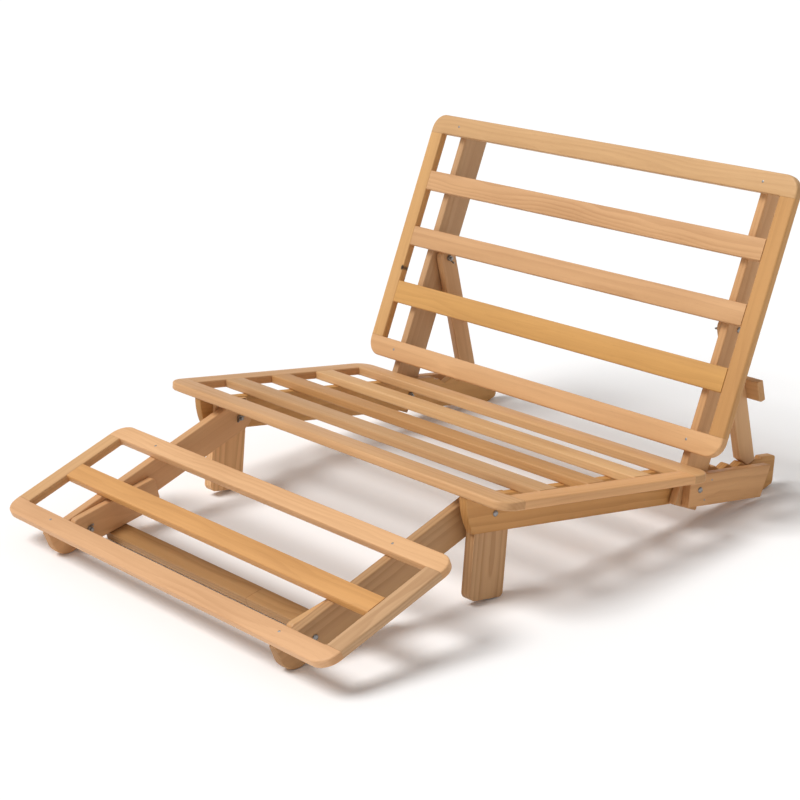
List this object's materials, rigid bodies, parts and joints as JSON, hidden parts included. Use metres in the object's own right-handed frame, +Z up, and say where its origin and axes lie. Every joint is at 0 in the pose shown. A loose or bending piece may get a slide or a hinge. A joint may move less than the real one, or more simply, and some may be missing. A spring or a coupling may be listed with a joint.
{
  "type": "slatted lounger frame",
  "caption": "Slatted softwood tri-fold lounger frame: seat on notched side boards, hinged foot section with folding legs, hinged back on a prop frame.",
  "frame": {"origin": "centre of the bounding box in plan, on the floor", "axes": "+Z up, +X across the frame towards its right side, -Y towards the foot end, +Y towards the back"},
  "size_m": [1.372, 1.6072, 0.8402],
  "materials": {
    "pine": "satin",
    "pine_deep": "satin",
    "steel": "satin"
  },
  "bodies": {
    "seat": {"left_foot_pivot_bolt": "steel", "left_foot_pivot_wing_nut": "steel", "left_foot_spacer": "steel", "left_front_leg": "pine", "left_side_board": "pine", "right_foot_pivot_bolt": "steel", "right_foot_pivot_wing_nut": "steel", "right_foot_spacer": "steel", "right_front_leg": "pine", "right_side_board": "pine", "seat_back_rail": "pine", "seat_front_rail": "pine", "seat_left_rail": "pine", "seat_right_rail": "pine", "seat_slat_1": "pine", "seat_slat_2": "pine", "seat_slat_3": "pine"},
    "foot": {"foot_back_rail": "pine", "foot_front_rail": "pine", "foot_left_rail": "pine", "foot_right_rail": "pine", "foot_slat": "pine_deep", "left_foot_arm": "pine", "left_foot_leg_bolt": "steel", "left_foot_leg_wing_nut": "steel", "right_foot_arm": "pine", "right_foot_leg_bolt": "steel", "right_foot_leg_wing_nut": "steel"},
    "foot_legs": {"foot_leg_stretcher": "pine", "left_foot_leg": "pine", "right_foot_leg": "pine"},
    "back": {"back_bottom_rail": "pine", "back_left_stile": "pine", "back_right_stile": "pine_deep", "back_slat_1": "pine", "back_slat_2": "pine", "back_slat_3": "pine_deep", "back_top_rail": "pine", "left_back_pivot_bolt": "steel", "left_back_pivot_wing_nut": "steel", "left_back_post": "pine", "left_back_washer": "steel", "left_prop_pivot_bolt": "steel", "left_prop_pivot_wing_nut": "steel", "left_prop_washer": "steel", "left_rear_leg": "pine", "right_back_pivot_bolt": "steel", "right_back_pivot_wing_nut": "steel", "right_back_post": "pine", "right_back_washer": "steel", "right_prop_pivot_bolt": "steel", "right_prop_pivot_wing_nut": "steel", "right_prop_washer": "steel", "right_rear_leg": "pine"},
    "prop": {"left_prop_strut": "pine", "prop_cross_bar": "pine", "right_prop_strut": "pine"}
  },
  "joints": [
    {"name": "foot_fold", "type": "hinge", "parent": "seat", "child": "foot", "pos_m": [0, -0.18977, 0.21281], "axis": [-1, 0, 0], "range_deg": [0, 28.01]},
    {"name": "foot_leg_fold", "type": "hinge", "parent": "foot", "child": "foot_legs", "pos_m": [0, -0.68873, 0.05771], "axis": [-1, 0, 0], "range_deg": [0, 82]},
    {"name": "back_tilt", "type": "hinge", "parent": "seat", "child": "back", "pos_m": [0, 0.42765, 0.09807], "axis": [1, 0, 0], "range_deg": [0, 15]},
    {"name": "prop_swing", "type": "hinge", "parent": "back", "child": "prop", "pos_m": [0, 0.6063, 0.46155], "axis": [1, 0, 0], "range_deg": [0, 22.5]}
  ],
  "couplings": [
    {"joint": "prop_swing", "follows": "back_tilt", "ratio": 1.5}
  ]
}
